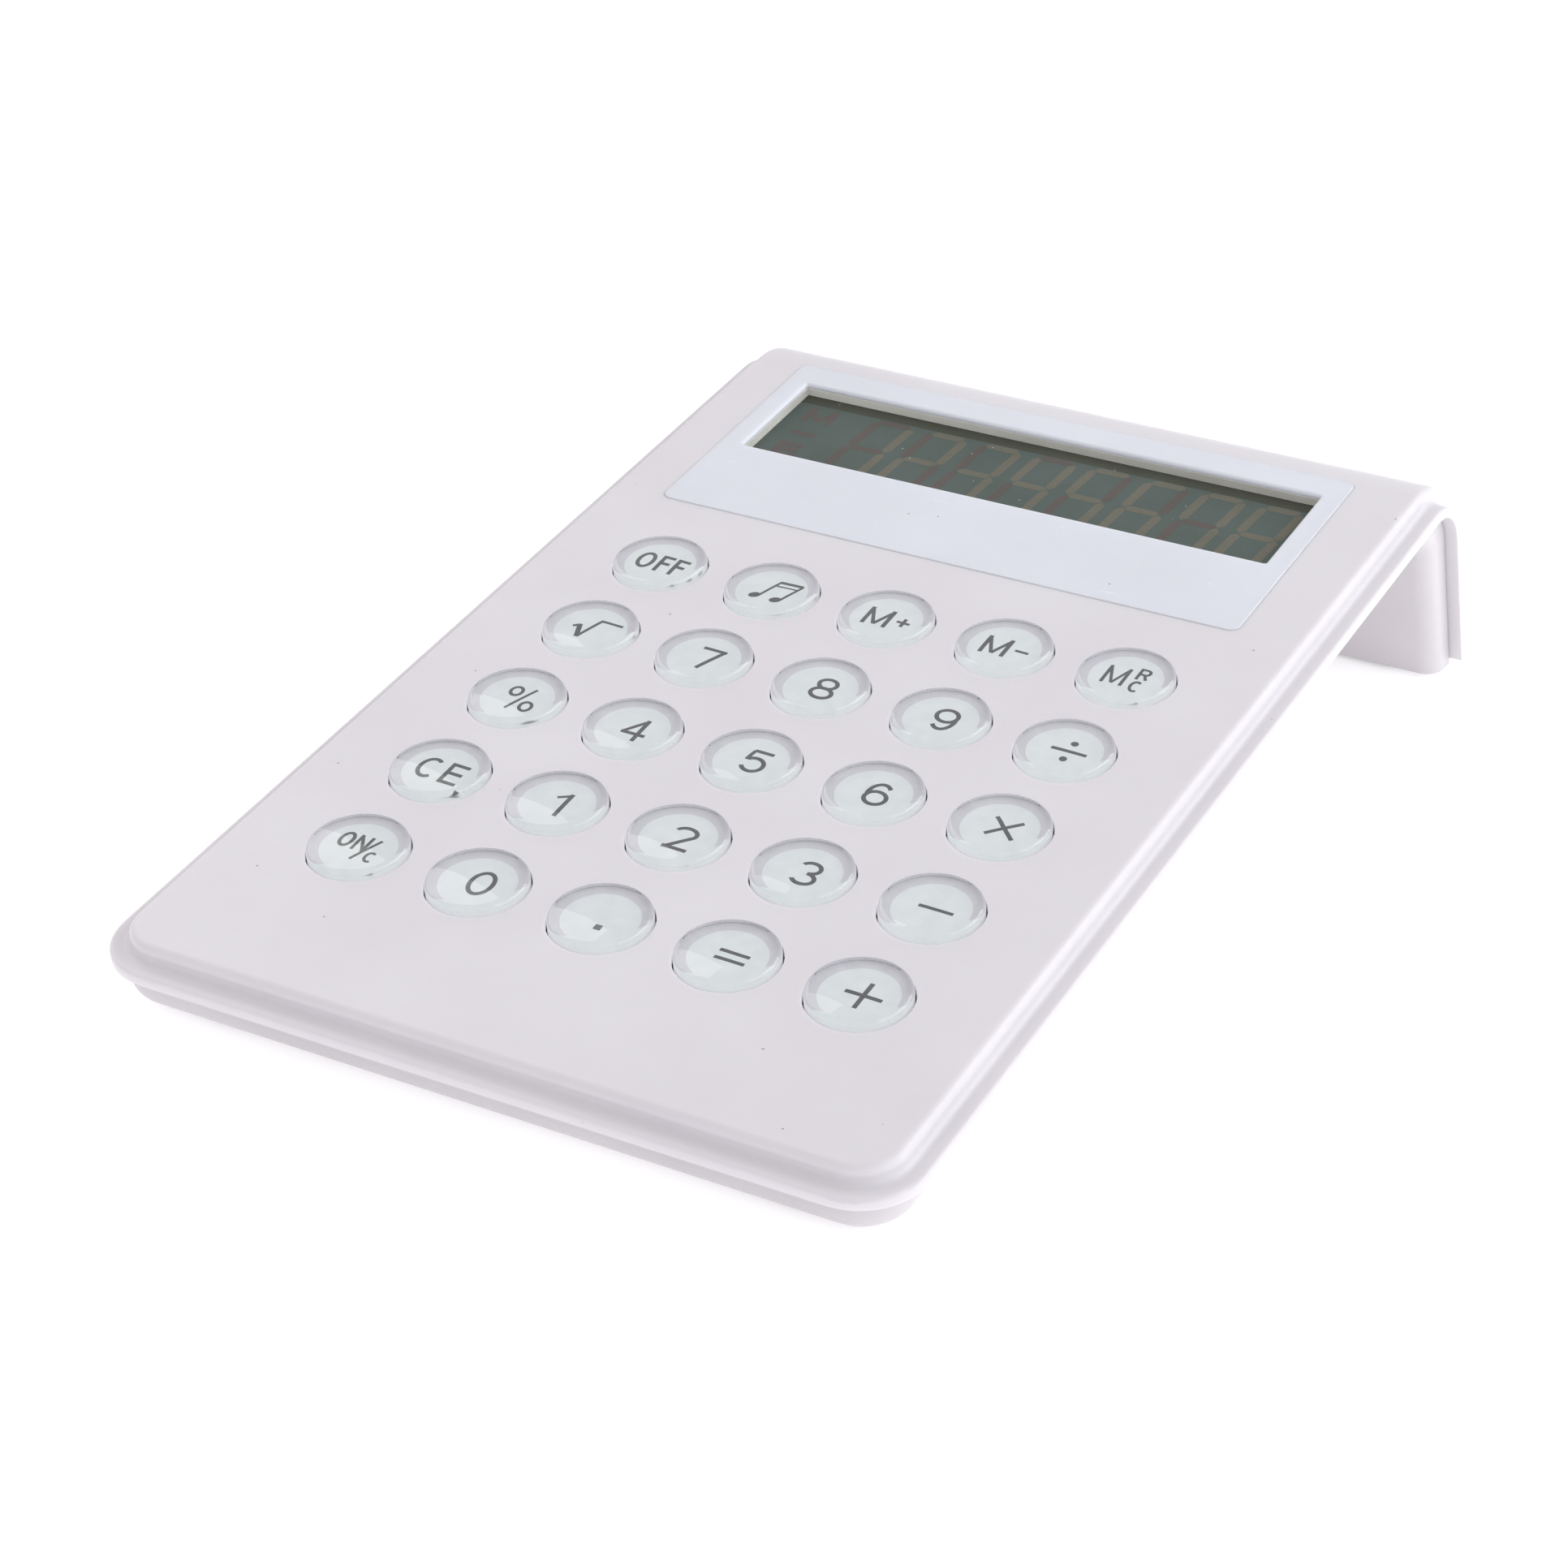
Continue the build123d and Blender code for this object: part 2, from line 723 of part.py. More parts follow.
screws("battery_door_screw", Locations((0, door_screw_y)), slab_depth - door_head_recess, 1.7, 0.35, 2.3)

# ---- sounder: brass disc glued to the floor, ceramic disc on it, and two wires to the board
with BuildPart() as sounder_disc:
    with BuildSketch(face.offset(-floor_depth)):
        with Locations((0, sounder_y)):
            Circle(brass_radius)
    extrude(amount=sounder_layer)
finish(sounder_disc, "sounder_disc")

with BuildPart() as sounder_ceramic:
    with BuildSketch(face.offset(-floor_depth + sounder_layer)):
        with Locations((0, sounder_y)):
            Circle(ceramic_radius)
    extrude(amount=sounder_layer)
finish(sounder_ceramic, "sounder_ceramic")

with BuildPart() as sounder_wires:
    low = floor_depth - 2 * sounder_layer - wire_radius - 0.02
    high = board_bottom + wire_radius + 0.02
    for x in (-wire_x, wire_x):
        with BuildLine(side.offset(x)):
            run = FilletPolyline((20.0, -low), (25.0, -low), (33.0, -high), (38.0, -high), radius=wire_bend)
        with BuildSketch(Plane(origin=run @ 0, z_dir=run % 0)):
            Circle(wire_radius)
        sweep(path=run)
finish(sounder_wires, "sounder_wires")

# ---- case screws and rubber feet
screws("case_screws", Locations(*case_spots), case_head_seat, case_head_radius, 1.3, 3.8)


def front_foot(name, x):
    """A round rubber pad square to the cover, its underside cut level with the desk."""
    with BuildPart() as pad:
        with BuildSketch(face.offset(-slab_depth + front_foot_recess - seat_gap)):
            with Locations((x, front_foot_y)):
                Circle(front_foot_radius)
        extrude(amount=-foot_stock)
        split(bisect_by=Plane.XY, keep=Keep.TOP)
    finish(pad, name)


def leg_foot(name, x):
    """A rubber strip let into the bottom of the leg."""
    with BuildPart() as pad:
        with BuildSketch(Plane.XY):
            with Locations((x, leg_foot_y)):
                RectangleRounded(leg_foot_length, leg_foot_width, leg_foot_corner)
        extrude(amount=foot_height + leg_foot_recess - seat_gap)
    finish(pad, name)


front_foot("front_foot_left", -foot_x)
front_foot("front_foot_right", foot_x)
leg_foot("leg_foot_left", -foot_x)
leg_foot("leg_foot_right", foot_x)
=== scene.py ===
import json
import math

import bpy
from mathutils import Matrix, Quaternion, Vector


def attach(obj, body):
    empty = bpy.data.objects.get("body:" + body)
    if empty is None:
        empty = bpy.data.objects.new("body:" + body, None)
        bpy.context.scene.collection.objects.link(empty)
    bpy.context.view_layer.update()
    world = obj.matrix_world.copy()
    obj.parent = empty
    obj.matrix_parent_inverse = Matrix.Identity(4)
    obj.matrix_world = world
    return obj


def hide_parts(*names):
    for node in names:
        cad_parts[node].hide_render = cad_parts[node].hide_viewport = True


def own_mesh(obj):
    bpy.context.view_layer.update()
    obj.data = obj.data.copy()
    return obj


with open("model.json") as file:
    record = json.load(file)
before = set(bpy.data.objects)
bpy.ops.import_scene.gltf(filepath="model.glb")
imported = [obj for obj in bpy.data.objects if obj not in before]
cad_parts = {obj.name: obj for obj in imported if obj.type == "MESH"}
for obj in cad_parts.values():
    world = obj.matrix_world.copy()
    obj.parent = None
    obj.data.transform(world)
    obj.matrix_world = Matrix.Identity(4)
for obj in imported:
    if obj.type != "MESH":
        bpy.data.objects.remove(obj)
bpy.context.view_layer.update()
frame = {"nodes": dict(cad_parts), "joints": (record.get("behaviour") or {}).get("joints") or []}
nodes = frame["nodes"]
mm = 0.001

# The sloping face: across runs left to right, upSlope towards the display, outward out of the keys
across = Vector((1, 0, 0))
outward = -Vector(frame["joints"][0]["axis"]).normalized()
upSlope = outward.cross(across)
faceTurn = Matrix((across, upSlope, outward)).transposed().to_4x4()


def spanOf(node):
    # lowest and highest of a node along across, upSlope and outward
    points = [v.co for v in nodes[node].data.vertices]
    along = [[axis.dot(p) for p in points] for axis in (across, upSlope, outward)]
    return Vector([min(a) for a in along]), Vector([max(a) for a in along])


def middleOf(node):
    low, high = spanOf(node)
    return (low + high) / 2


keyForm = {"stand": 1.15 * mm, "dome": 0.3 * mm}  # rim above the casing, and crown above the rim
keyNames = [
    ["off", "melody", "m_plus", "m_minus", "mrc"],
    ["root", "7", "8", "9", "divide"],
    ["percent", "4", "5", "6", "times"],
    ["ce", "1", "2", "3", "minus"],
    ["on_c", "0", "point", "equals", "plus"],
]
keyCentres = {}
for row in keyNames:
    for name in row:
        keyCentres[name] = middleOf("key_" + name)
faceLevel = spanOf("key_5")[1].z - keyForm["stand"] - keyForm["dome"]
print("frame read,", len(nodes), "nodes")


# shading helpers

def newMaterial(name):
    made = bpy.data.materials.new(name)
    made.use_nodes = True
    return made, made.node_tree, made.node_tree.nodes["Principled BSDF"]


def addNode(tree, kind, **values):
    node = tree.nodes.new(kind)
    for key, value in values.items():
        setattr(node, key, value)
    return node


def noiseOn(tree, size, detail=3.0, stretch=(1, 1, 1), roughness=0.5):
    # a noise pattern whose features are about size metres across
    coords = addNode(tree, "ShaderNodeTexCoord")
    place = addNode(tree, "ShaderNodeMapping")
    place.inputs["Scale"].default_value = stretch
    noise = addNode(tree, "ShaderNodeTexNoise")
    noise.inputs["Scale"].default_value = 1 / size
    noise.inputs["Detail"].default_value = detail
    noise.inputs["Roughness"].default_value = roughness
    tree.links.new(coords.outputs["Object"], place.inputs["Vector"])
    tree.links.new(place.outputs["Vector"], noise.inputs["Vector"])
    return noise.outputs["Fac"]


def rampOn(tree, source, stops):
    ramp = addNode(tree, "ShaderNodeValToRGB")
    line = ramp.color_ramp
    while len(line.elements) < len(stops):
        line.elements.new(0.5)
    for element, (place, colour) in zip(line.elements, stops):
        element.position = place
        element.color = (*colour, 1)
    tree.links.new(source, ramp.inputs["Fac"])
    return ramp.outputs["Color"]


def rangeOn(tree, source, low, high, fromLow=0.3, fromHigh=0.7):
    spread = addNode(tree, "ShaderNodeMapRange")
    spread.inputs["From Min"].default_value = fromLow
    spread.inputs["From Max"].default_value = fromHigh
    spread.inputs["To Min"].default_value = low
    spread.inputs["To Max"].default_value = high
    tree.links.new(source, spread.inputs["Value"])
    return spread.outputs["Result"]


def blendOn(tree, factor, first, second):
    blend = addNode(tree, "ShaderNodeMix", data_type="RGBA", blend_type="MIX")
    tree.links.new(factor, blend.inputs["Factor"])
    for socket, value in (("A", first), ("B", second)):
        target = [s for s in blend.inputs if s.name == socket and s.type == "RGBA"][0]
        if isinstance(value, tuple):
            target.default_value = (*value, 1)
        else:
            tree.links.new(value, target)
    return [s for s in blend.outputs if s.type == "RGBA"][0]


def bumpOn(tree, source, height):
    bump = addNode(tree, "ShaderNodeBump")
    bump.inputs["Strength"].default_value = 1.0
    bump.inputs["Distance"].default_value = height
    tree.links.new(source, bump.inputs["Height"])
    return bump.outputs["Normal"]


def specksOn(tree, size, share):
    # small scattered spots: 1 inside a spot, 0 outside
    coords = addNode(tree, "ShaderNodeTexCoord")
    cells = addNode(tree, "ShaderNodeTexVoronoi")
    cells.inputs["Scale"].default_value = 1 / size
    tree.links.new(coords.outputs["Object"], cells.inputs["Vector"])
    return rangeOn(tree, cells.outputs["Distance"], 1, 0, share * 0.6, share)


def mouldedPlastic(name, look):
    made, tree, shader = newMaterial(name)
    cloud = noiseOn(tree, look["cloudSize"], 4)
    grain = noiseOn(tree, look["grainSize"], 2)
    scuff = noiseOn(tree, look["scuffSize"], 5, (1, 6, 1), 0.7)
    base = rampOn(tree, cloud, [(0.3, look["dark"]), (0.7, look["light"])])
    speck = specksOn(tree, look["speckSize"], look["speckShare"])
    colour = blendOn(tree, speck, base, look["speck"])
    tree.links.new(colour, shader.inputs["Base Color"])
    rough = rangeOn(tree, scuff, look["roughLow"], look["roughHigh"])
    tree.links.new(rough, shader.inputs["Roughness"])
    tree.links.new(bumpOn(tree, grain, look["grainHeight"]), shader.inputs["Normal"])
    shader.inputs["IOR"].default_value = look["ior"]
    shader.inputs["Coat Weight"].default_value = look["coat"]
    shader.inputs["Coat Roughness"].default_value = look["coatRough"]
    if look["glow"] > 0:  # light that soaks in and comes out again beside where it entered
        shader.inputs["Subsurface Weight"].default_value = look["glow"]
        shader.inputs["Subsurface Radius"].default_value = look["glowColour"]
        shader.inputs["Subsurface Scale"].default_value = look["glowReach"]
    return made


plain = {
    "cloudSize": 18 * mm, "grainSize": 0.35 * mm, "grainHeight": 0.006 * mm,
    "scuffSize": 9 * mm, "speckSize": 6 * mm, "speckShare": 0.03, "speck": (0.35, 0.28, 0.26),
    "roughLow": 0.30, "roughHigh": 0.42, "ior": 1.5, "coat": 0.0, "coatRough": 0.2,
    "glow": 0.0, "glowColour": (1.0, 0.85, 0.85), "glowReach": 1.2 * mm,
}
casingPlastic = mouldedPlastic("casing_plastic", {
    **plain, "dark": (0.628, 0.600, 0.628), "light": (0.660, 0.634, 0.656), "glow": 0.35,
})
coverPlastic = mouldedPlastic("cover_plastic", {
    **plain, "dark": (0.56, 0.53, 0.55), "light": (0.60, 0.57, 0.59), "roughLow": 0.38, "roughHigh": 0.5,
})
bezelPlastic = mouldedPlastic("bezel_plastic", {
    **plain, "dark": (0.64, 0.655, 0.70), "light": (0.665, 0.68, 0.73),
    "grainHeight": 0.002 * mm, "roughLow": 0.18, "roughHigh": 0.28,
    "glow": 0.6, "glowColour": (1.0, 0.95, 0.85), "glowReach": 1.6 * mm,
})
innerPlastic = mouldedPlastic("inner_plastic", {
    **plain, "dark": (0.60, 0.60, 0.58), "light": (0.66, 0.66, 0.64), "roughLow": 0.45, "roughHigh": 0.6,
})
matRubber = mouldedPlastic("mat_rubber", {
    **plain, "dark": (0.50, 0.51, 0.52), "light": (0.56, 0.57, 0.58), "roughLow": 0.6, "roughHigh": 0.75,
    "ior": 1.41,
})
carbonInk = mouldedPlastic("carbon_ink", {
    **plain, "dark": (0.012, 0.012, 0.014), "light": (0.022, 0.022, 0.024),
    "speck": (0.04, 0.04, 0.045), "roughLow": 0.5, "roughHigh": 0.7,
})
footRubber = mouldedPlastic("foot_rubber", {
    **plain, "dark": (0.055, 0.055, 0.06), "light": (0.085, 0.085, 0.09),
    "speck": (0.25, 0.24, 0.22), "roughLow": 0.6, "roughHigh": 0.8,
})
boardResin = mouldedPlastic("board_resin", {
    **plain, "dark": (0.28, 0.17, 0.065), "light": (0.36, 0.23, 0.10),
    "speck": (0.16, 0.09, 0.04), "roughLow": 0.35, "roughHigh": 0.5,
})
blackEpoxy = mouldedPlastic("black_epoxy", {
    **plain, "dark": (0.010, 0.010, 0.012), "light": (0.020, 0.020, 0.022),
    "speck": (0.05, 0.05, 0.05), "roughLow": 0.12, "roughHigh": 0.25,
})
paleCeramic = mouldedPlastic("pale_ceramic", {
    **plain, "dark": (0.52, 0.46, 0.36), "light": (0.60, 0.54, 0.44), "roughLow": 0.4, "roughHigh": 0.6,
})
ribbonFilm = mouldedPlastic("ribbon_film", {
    **plain, "dark": (0.42, 0.30, 0.14), "light": (0.50, 0.37, 0.18), "roughLow": 0.2, "roughHigh": 0.3,
})
wireSheath = mouldedPlastic("wire_sheath", {
    **plain, "dark": (0.32, 0.02, 0.02), "light": (0.42, 0.04, 0.03), "roughLow": 0.35, "roughHigh": 0.5,
})


def metal(name, look):
    made, tree, shader = newMaterial(name)
    brushed = noiseOn(tree, look["lineSize"], 3, look["lineWay"], 0.6)
    cloud = noiseOn(tree, 4 * mm, 4)
    base = rampOn(tree, cloud, [(0.3, look["dark"]), (0.7, look["light"])])
    tree.links.new(base, shader.inputs["Base Color"])
    tree.links.new(rangeOn(tree, brushed, look["roughLow"], look["roughHigh"]), shader.inputs["Roughness"])
    tree.links.new(bumpOn(tree, brushed, look["lineHeight"]), shader.inputs["Normal"])
    shader.inputs["Metallic"].default_value = 1.0
    return made


steel = {
    "dark": (0.42, 0.42, 0.43), "light": (0.58, 0.58, 0.60), "lineSize": 0.25 * mm,
    "lineWay": (1, 8, 1), "lineHeight": 0.003 * mm, "roughLow": 0.22, "roughHigh": 0.4,
}
screwSteel = metal("screw_steel", steel)
cellSteel = metal("cell_steel", {**steel, "dark": (0.55, 0.55, 0.55), "light": (0.70, 0.70, 0.70)})
springSteel = metal("spring_steel", {**steel, "dark": (0.50, 0.48, 0.42), "light": (0.62, 0.60, 0.54)})
sheetBrass = metal("sheet_brass", {**steel, "dark": (0.55, 0.38, 0.14), "light": (0.68, 0.50, 0.22)})


def clearPlastic(name, look):
    # light from lamps and from nearby surfaces goes straight through, so what is under it is lit
    made, tree, shader = newMaterial(name)
    haze = noiseOn(tree, 3 * mm, 4, roughness=0.65)
    wave = noiseOn(tree, 5 * mm, 1)
    rough = rangeOn(tree, haze, look["roughLow"], look["roughHigh"], 0.45, 0.75)
    if look["satinSide"] > 0:  # the turned side wall is satin, the faces are polished
        faceWay = addNode(tree, "ShaderNodeTexCoord")
        tilt = addNode(tree, "ShaderNodeVectorMath", operation="DOT_PRODUCT")
        tilt.inputs[1].default_value = outward
        tree.links.new(faceWay.outputs["Normal"], tilt.inputs[0])
        flatness = addNode(tree, "ShaderNodeMath", operation="ABSOLUTE")
        tree.links.new(tilt.outputs["Value"], flatness.inputs[0])
        satin = rangeOn(tree, flatness.outputs[0], look["satinSide"], 0.0, 0.05, 0.45)
        either = addNode(tree, "ShaderNodeMath", operation="MAXIMUM")
        tree.links.new(rough, either.inputs[0])
        tree.links.new(satin, either.inputs[1])
        rough = either.outputs[0]
    tree.links.new(rough, shader.inputs["Roughness"])
    tree.links.new(bumpOn(tree, wave, look["waveHeight"]), shader.inputs["Normal"])
    shader.inputs["Base Color"].default_value = (*look["tint"], 1)
    shader.inputs["IOR"].default_value = look["ior"]
    shader.inputs["Transmission Weight"].default_value = 1.0
    path = addNode(tree, "ShaderNodeLightPath")
    either = addNode(tree, "ShaderNodeMath", operation="MAXIMUM")
    through = addNode(tree, "ShaderNodeBsdfTransparent")
    through.inputs["Color"].default_value = (*look["passes"], 1)
    both = addNode(tree, "ShaderNodeMixShader")
    output = tree.nodes["Material Output"]
    tree.links.new(path.outputs["Is Shadow Ray"], either.inputs[0])
    tree.links.new(path.outputs["Is Diffuse Ray"], either.inputs[1])
    tree.links.new(either.outputs[0], both.inputs[0])
    tree.links.new(shader.outputs[0], both.inputs[1])
    tree.links.new(through.outputs[0], both.inputs[2])
    tree.links.new(both.outputs[0], output.inputs["Surface"])
    return made


keyClear = clearPlastic("key_clear", {
    "tint": (0.985, 0.99, 1.0), "passes": (0.97, 0.975, 0.98), "ior": 1.49,
    "roughLow": 0.0, "roughHigh": 0.05, "waveHeight": 0.004 * mm, "satinSide": 0.28,
})
panelGlass = clearPlastic("panel_glass", {
    "tint": (0.95, 0.98, 0.97), "passes": (0.9, 0.93, 0.92), "ior": 1.52,
    "roughLow": 0.0, "roughHigh": 0.03, "waveHeight": 0.0005 * mm, "satinSide": 0.0,
})


def displayFilm(name, look):
    made, tree, shader = newMaterial(name)
    cloud = noiseOn(tree, 12 * mm, 5, roughness=0.6)
    fine = noiseOn(tree, 0.4 * mm, 4, roughness=0.75)
    base = rampOn(tree, cloud, [(0.32, look["dark"]), (0.68, look["light"])])
    dust = specksOn(tree, 2.6 * mm, 0.04)
    mottled = blendOn(tree, rangeOn(tree, fine, 0.0, 0.55), base, look["mottle"])
    tree.links.new(blendOn(tree, dust, mottled, look["dust"]), shader.inputs["Base Color"])
    tree.links.new(rangeOn(tree, fine, look["roughLow"], look["roughHigh"]), shader.inputs["Roughness"])
    tree.links.new(bumpOn(tree, fine, 0.002 * mm), shader.inputs["Normal"])
    shader.inputs["IOR"].default_value = 1.5
    shader.inputs["Specular IOR Level"].default_value = look["sheen"]
    return made


displayGround = displayFilm("display_ground", {
    "dark": (0.058, 0.092, 0.082), "light": (0.078, 0.112, 0.106), "mottle": (0.120, 0.112, 0.095),
    "dust": (0.5, 0.52, 0.5), "roughLow": 0.4, "roughHigh": 0.6, "sheen": 0.12,
})
reflectorFoil = displayFilm("reflector_foil", {
    "dark": (0.25, 0.27, 0.25), "light": (0.33, 0.35, 0.33), "mottle": (0.3, 0.3, 0.28),
    "dust": (0.5, 0.52, 0.5), "roughLow": 0.3, "roughHigh": 0.5, "sheen": 0.5,
})

finishOfSlot = {
    "casing": casingPlastic, "cover": coverPlastic, "bezel": bezelPlastic, "keys": keyClear,
    "lcd_film": displayGround, "lcd_glass": panelGlass, "reflector": reflectorFoil,
    "inner_plastic": innerPlastic, "ribbon": ribbonFilm, "mat": matRubber, "carbon": carbonInk,
    "board": boardResin, "epoxy": blackEpoxy, "ceramic": paleCeramic, "cell": cellSteel,
    "contacts": springSteel, "screws": screwSteel, "brass": sheetBrass, "wire": wireSheath,
    "feet": footRubber,
}
for node in nodes.values():
    for slot in node.material_slots:
        slot.material = finishOfSlot[slot.material.name.split(".")[0]]
print("finishes made")


# modelling helpers

def startPiece():
    if bpy.context.object is not None and bpy.context.object.mode != "OBJECT":
        bpy.ops.object.mode_set(mode="OBJECT")
    bpy.ops.object.select_all(action="DESELECT")


def onlySelect(piece):
    startPiece()
    piece.select_set(True)
    bpy.context.view_layer.objects.active = piece


def finishPiece(piece, name, finish, body, turn=None):
    startPiece()
    piece.name = name
    piece.data.name = name
    piece.data.transform(piece.matrix_world)
    piece.matrix_world = Matrix.Identity(4)
    if turn is not None:
        piece.data.transform(turn)
    piece.data.materials.clear()
    piece.data.materials.append(finish)
    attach(piece, body)
    return piece


def placeOnFace(along, up, out):
    # a move from the flat drawing at the origin to a place on the sloping face
    return faceTurn @ Matrix.Translation((along, up, out))


# key print: a white layer under each cap and the legend on it

printForm = {
    "radius": 4.3 * mm, "skirt": 5.735 * mm, "depth": 0.75 * mm, "thickness": 0.03 * mm,
    "sink": 0.012 * mm, "layer": 0.0015 * mm, "shift": (0.5 * mm, 0.0), "turns": 64, "skirtTurns": 72,
    "tall": 4.2, "wide": 3.0, "weight": 0.52, "thin": 0.42,  # legend sizes in millimetres
    "smallTall": 2.3, "smallWeight": 0.36,
}


def inkFinish(name, dark, light):
    return mouldedPlastic(name, {
        **plain, "cloudSize": 2 * mm, "grainSize": 0.2 * mm, "grainHeight": 0.001 * mm,
        "dark": dark, "light": light, "speck": light, "roughLow": 0.5, "roughHigh": 0.6,
    })


printWhite = inkFinish("print_white", (0.60, 0.63, 0.625), (0.65, 0.675, 0.67))
skirtGrey = inkFinish("skirt_grey", (0.50, 0.495, 0.52), (0.55, 0.545, 0.57))
legendGrey = inkFinish("legend_grey", (0.060, 0.062, 0.062), (0.085, 0.088, 0.088))


def flatShape(outlines, thick=None):
    # a flat closed shape from outlines in millimetres, made a thin mesh
    startPiece()
    drawing = bpy.data.curves.new("outline", "CURVE")
    drawing.dimensions = "2D"
    drawing.fill_mode = "BOTH"
    drawing.extrude = (thick or printForm["sink"] / 2) / 2
    for outline in outlines:
        line = drawing.splines.new("POLY")
        line.points.add(len(outline) - 1)
        for point, (x, y) in zip(line.points, outline):
            point.co = (x * mm, y * mm, 0, 1)
        line.use_cyclic_u = True
    shape = bpy.data.objects.new("outline", drawing)
    bpy.context.collection.objects.link(shape)
    onlySelect(shape)
    bpy.ops.object.convert(target="MESH")
    return bpy.context.object


def bar(x0, y0, x1, y1, width):
    # outline of a straight stroke from one point to another
    way = Vector((x1 - x0, y1 - y0)).normalized() * (width / 2)
    side = Vector((-way.y, way.x))
    return [(x0 - side.x, y0 - side.y), (x1 - side.x, y1 - side.y),
            (x1 + side.x, y1 + side.y), (x0 + side.x, y0 + side.y)]


def ring(x, y, wide, tall, width):
    # outlines of a closed oval stroke: its outer edge and its inner edge
    return [oval(x, y, wide + width / 2, tall + width / 2), oval(x, y, wide - width / 2, tall - width / 2)]


def oval(x, y, wide, tall, lean=0.0, count=36):
    edge = []
    for step in range(count):
        angle = math.tau * step / count
        px, py = wide * math.cos(angle), tall * math.sin(angle)
        edge.append((x + px * math.cos(lean) - py * math.sin(lean),
                     y + px * math.sin(lean) + py * math.cos(lean)))
    return edge


def arc(x, y, wide, tall, start, end, width, count=20):
    # outline of an open oval stroke between two angles in degrees
    outer, inner = [], []
    for step in range(count + 1):
        angle = math.radians(start + (end - start) * step / count)
        for edge, grow in ((outer, width / 2), (inner, -width / 2)):
            edge.append((x + (wide + grow) * math.cos(angle), y + (tall + grow) * math.sin(angle)))
    return outer + inner[::-1]


def joined(pieces):
    onlySelect(pieces[0])
    for piece in pieces[1:]:
        piece.select_set(True)
    bpy.ops.object.join()
    return bpy.context.object


def layered(strokes):
    # one mesh of many flat strokes, each a hair above the last, so that none lies in another's plane
    pieces = []
    for place, stroke in enumerate(strokes):
        piece = flatShape(stroke)
        piece.data.transform(Matrix.Translation((0, 0, place * printForm["layer"])))
        pieces.append(piece)
    return joined(pieces)


def glyph(mark, wide, tall, w, x=0.0, y=0.0):
    # the strokes of one figure or letter, wide by tall millimetres, drawn with strokes of width w
    h, v = wide / 2 - w / 2, tall / 2 - w / 2  # half sizes on the stroke's middle
    side, top = wide / 2, tall / 2
    stem = [bar(-h, -top, -h, top, w)]
    farStem = [bar(h, -top, h, top, w)]
    roof = [bar(-side, v, side, v, w)]
    base = [bar(-side, -v, side, -v, w)]
    drawn = {
        "0": [ring(0, 0, h, v, w)],
        "O": [ring(0, 0, h, v, w)],
        "1": [[bar(0.25 * h, -top, 0.25 * h, top, w)],
              [bar(0.25 * h, v - 0.05, -0.85 * h, 0.5 * v, w * 0.8)]],
        "2": [[arc(0, 0.5 * v, h, 0.5 * v, 168, -35, w)],
              [bar(0.84 * h, 0.24 * v, -0.86 * h, -v, w)], base],
        "3": [[arc(0, 0.5 * v, 0.9 * h, 0.5 * v, 158, -90, w)],
              [arc(0, -0.5 * v, h, 0.5 * v, 90, -158, w)]],
        "4": [[bar(0.45 * h, -top, 0.45 * h, top, w)], [bar(-side, -0.44 * v, side, -0.44 * v, w)],
              [bar(-h, -0.4 * v, 0.45 * h, v, w * 0.9)]],
        "5": [[bar(-0.78 * h, v, 0.92 * side, v, w)], [bar(-0.72 * h, v, -0.92 * h, 0.02, w * 0.9)],
              [arc(0, -0.34 * v, h, 0.66 * v, 142, -155, w)]],
        "6": [ring(0, -0.38 * v, h, 0.62 * v, w), [arc(0, 0, h, v, 42, 186, w)]],
        "7": [roof, [bar(h, v, -0.35 * h, -top, w)]],
        "8": [ring(0, 0.5 * v, 0.86 * h, 0.5 * v, w), ring(0, -0.48 * v, h, 0.52 * v, w)],
        "9": [ring(0, 0.38 * v, h, 0.62 * v, w), [arc(0, 0, h, v, -138, 6, w)]],
        "F": [stem, roof, [bar(-side, 0.05 * v, 0.8 * side, 0.05 * v, w)]],
        "E": [stem, roof, [bar(-side, 0.04 * v, 0.88 * side, 0.04 * v, w)], base],
        "C": [[arc(0, 0, h, v, 52, 308, w)]],
        "M": [stem, farStem, [bar(-h, v, 0, -v, w * 0.85)], [bar(0, -v, h, v, w * 0.85)]],
        "N": [stem, farStem, [bar(-h, v, h, -v, w)]],
        "R": [stem, [bar(-side, v, 0.3 * h, v, w)], [bar(-side, -0.02 * v, 0.3 * h, -0.02 * v, w)],
              [arc(0.3 * h, 0.49 * v, 0.7 * h, 0.51 * v, 90, -90, w)], [bar(0.15 * h, 0, h, -v, w)]],
        "%": [ring(-0.62 * h, 0.55 * v, 0.34 * h, 0.42 * v, w * 0.8),
              ring(0.62 * h, -0.55 * v, 0.34 * h, 0.42 * v, w * 0.8),
              [bar(-0.42 * h, -top, 0.42 * h, top, w * 0.7)]],
    }
    return [[[(px + x, py + y) for px, py in line] for line in stroke] for stroke in drawn[mark]]


